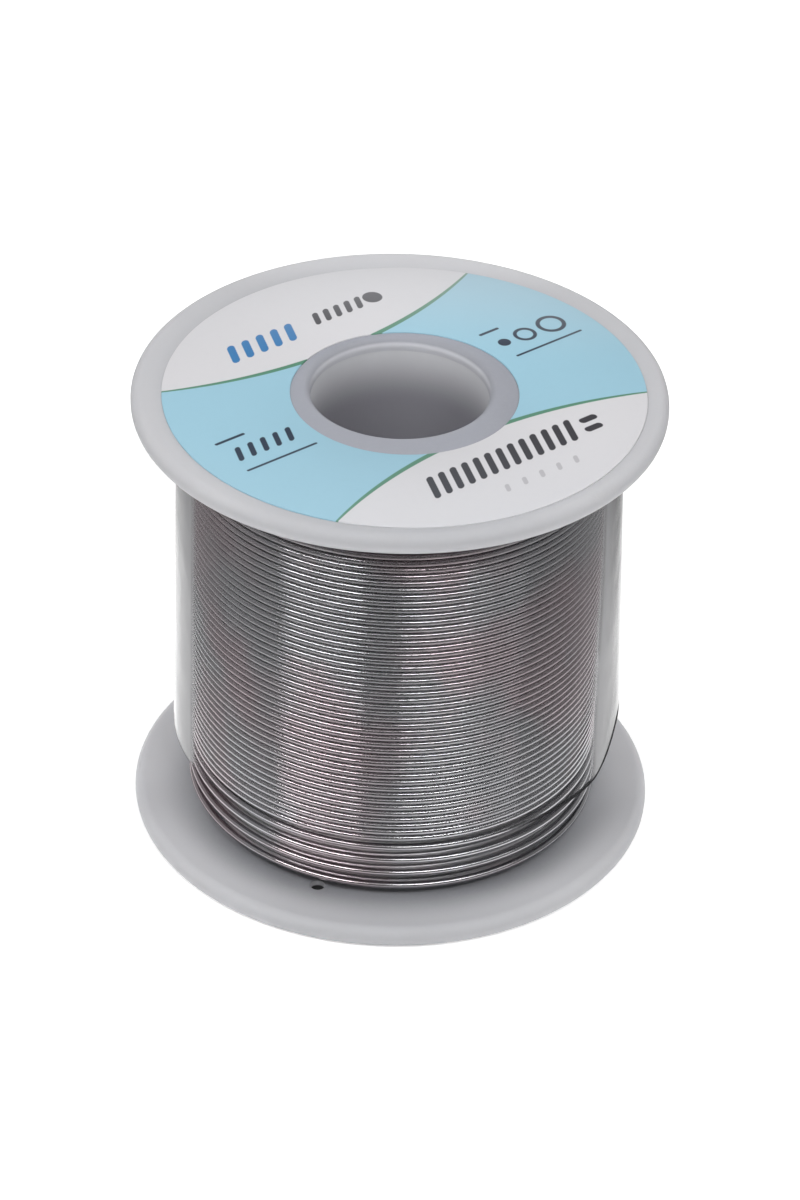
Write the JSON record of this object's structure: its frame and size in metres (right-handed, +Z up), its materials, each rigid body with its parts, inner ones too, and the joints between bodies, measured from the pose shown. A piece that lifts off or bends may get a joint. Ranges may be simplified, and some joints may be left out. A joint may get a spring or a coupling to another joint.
{
  "type": "solder wire spool",
  "caption": "Plastic spool of cored solder wire, closely wound, with a label on its upper flange and a clear film sleeve.",
  "frame": {"origin": "middle of the base, where the lower flange's outer face stands", "axes": "+Z up the bore, from the lower flange to the labelled one; -Y towards the side that the label's print faces"},
  "size_m": [0.06, 0.06, 0.0562],
  "materials": {
    "spool_plastic": "satin, slightly see-through",
    "label_paper": "smooth, printed",
    "solder_wire": "drawn, satin",
    "clear_film": "clear, glossy"
  },
  "bodies": {
    "spool": {"core_tube": "spool_plastic", "lower_flange": "spool_plastic", "upper_flange": "spool_plastic", "face_label": "label_paper", "wire_packed_layers": "solder_wire", "wire_close_lay": "solder_wire", "wire_open_turns": "solder_wire", "wire_end_tail": "solder_wire"},
    "film": {"clear_film_sleeve": "clear_film"}
  },
  "joints": [
    {"name": "film_turn", "type": "hinge", "parent": "spool", "child": "film", "pos_m": [0, 0, 0.032], "axis": [0, 0, 1], "continuous": true}
  ]
}
